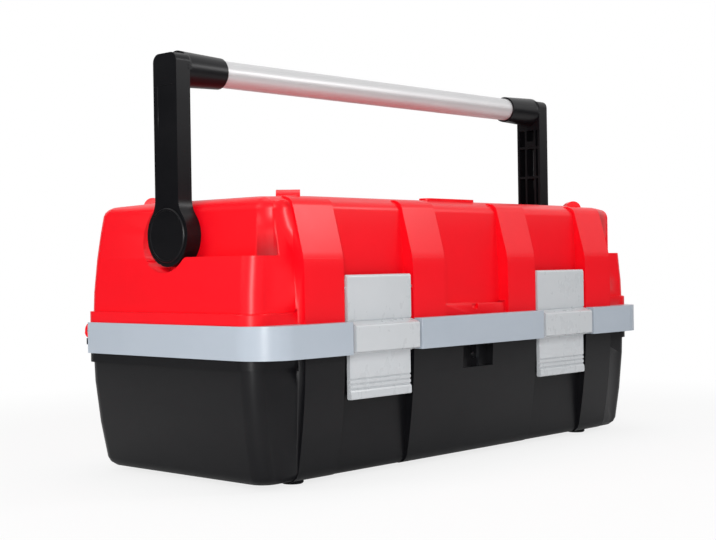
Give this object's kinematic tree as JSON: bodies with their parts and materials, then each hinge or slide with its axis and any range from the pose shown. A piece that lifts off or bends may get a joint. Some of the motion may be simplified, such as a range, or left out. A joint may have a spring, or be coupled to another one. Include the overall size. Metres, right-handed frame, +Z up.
{
  "type": "tool box",
  "caption": "Long moulded tool box with a hinged lid, draw-down latches, a swinging tube handle and trays that links lift as the lid opens.",
  "frame": {"origin": "centre of the footprint, on the surface that the feet stand on", "axes": "+Z up, +X along the box to the right of someone facing its latches, +Y from the latches to the hinges"},
  "size_m": [0.6046, 0.2726, 0.3929],
  "materials": {
    "black_plastic": "moulded, fine grain",
    "grey_plastic": "moulded, satin",
    "red_plastic": "moulded, satin",
    "pale_plastic": "moulded, satin",
    "tray_plastic": "moulded, satin",
    "tube_metal": "satin anodised",
    "steel": "zinc plated"
  },
  "bodies": {
    "tub": {"tub": "black_plastic", "foot_front_left": "black_plastic", "foot_front_right": "black_plastic", "foot_rear_left": "black_plastic", "foot_rear_right": "black_plastic", "band_left": "grey_plastic", "band_front": "grey_plastic", "band_right": "grey_plastic", "hinge_pins": "steel", "tub_rivets": "steel"},
    "lid": {"lid": "red_plastic", "latch_pins": "steel", "handle_pivots": "black_plastic"},
    "latch_left": {"latch_left": "pale_plastic"},
    "latch_right": {"latch_right": "pale_plastic"},
    "handle": {"handle_arm_left": "black_plastic", "handle_arm_right": "black_plastic", "grip_tube": "tube_metal", "hub_caps": "black_plastic"},
    "long_link_left": {"long_link_left": "steel"},
    "long_link_right": {"long_link_right": "steel"},
    "short_link_left": {"short_link_left": "steel"},
    "short_link_right": {"short_link_right": "steel"},
    "upper_tray": {"upper_tray": "tray_plastic", "upper_dividers": "tray_plastic", "upper_rivets": "steel", "lid_tray_pins": "steel"},
    "lower_tray": {"lower_tray": "tray_plastic", "lower_rivets": "steel"}
  },
  "joints": [
    {"name": "lid_hinge", "type": "hinge", "parent": "tub", "child": "lid", "pos_m": [0, 0.1293, 0.1344], "axis": [-1, 0, 0], "range_deg": [0, 95]},
    {"name": "latch_left_hinge", "type": "hinge", "parent": "lid", "child": "latch_left", "pos_m": [-0.146, -0.122, 0.1735], "axis": [-1, 0, 0], "range_deg": [0, 90]},
    {"name": "latch_right_hinge", "type": "hinge", "parent": "lid", "child": "latch_right", "pos_m": [0.146, -0.122, 0.1735], "axis": [-1, 0, 0], "range_deg": [0, 90]},
    {"name": "handle_hinge", "type": "hinge", "parent": "lid", "child": "handle", "pos_m": [0, 0.0048, 0.2234], "axis": [1, 0, 0], "range_deg": [0, 90]},
    {"name": "long_link_left_hinge", "type": "hinge", "parent": "tub", "child": "long_link_left", "pos_m": [-0.267, 0.052, 0.1205], "axis": [-1, 0, 0], "range_deg": [0, 95]},
    {"name": "long_link_right_hinge", "type": "hinge", "parent": "tub", "child": "long_link_right", "pos_m": [0.267, 0.052, 0.1205], "axis": [-1, 0, 0], "range_deg": [0, 95]},
    {"name": "short_link_left_hinge", "type": "hinge", "parent": "tub", "child": "short_link_left", "pos_m": [-0.267, -0.029, 0.086], "axis": [-1, 0, 0], "range_deg": [0, 95]},
    {"name": "short_link_right_hinge", "type": "hinge", "parent": "tub", "child": "short_link_right", "pos_m": [0.267, -0.029, 0.086], "axis": [-1, 0, 0], "range_deg": [0, 95]},
    {"name": "upper_tray_hinge", "type": "hinge", "parent": "long_link_left", "child": "upper_tray", "pos_m": [-0.267, -0.068, 0.1345], "axis": [-1, 0, 0], "range_deg": [-95, 0]},
    {"name": "lower_tray_hinge", "type": "hinge", "parent": "long_link_left", "child": "lower_tray", "pos_m": [-0.267, -0.008, 0.1275], "axis": [-1, 0, 0], "range_deg": [-95, 0]}
  ],
  "couplings": [
    {"joint": "long_link_left_hinge", "follows": "lid_hinge", "ratio": 1},
    {"joint": "long_link_right_hinge", "follows": "lid_hinge", "ratio": 1},
    {"joint": "short_link_left_hinge", "follows": "lid_hinge", "ratio": 1},
    {"joint": "short_link_right_hinge", "follows": "lid_hinge", "ratio": 1},
    {"joint": "upper_tray_hinge", "follows": "lid_hinge", "ratio": -1},
    {"joint": "lower_tray_hinge", "follows": "lid_hinge", "ratio": -1}
  ]
}
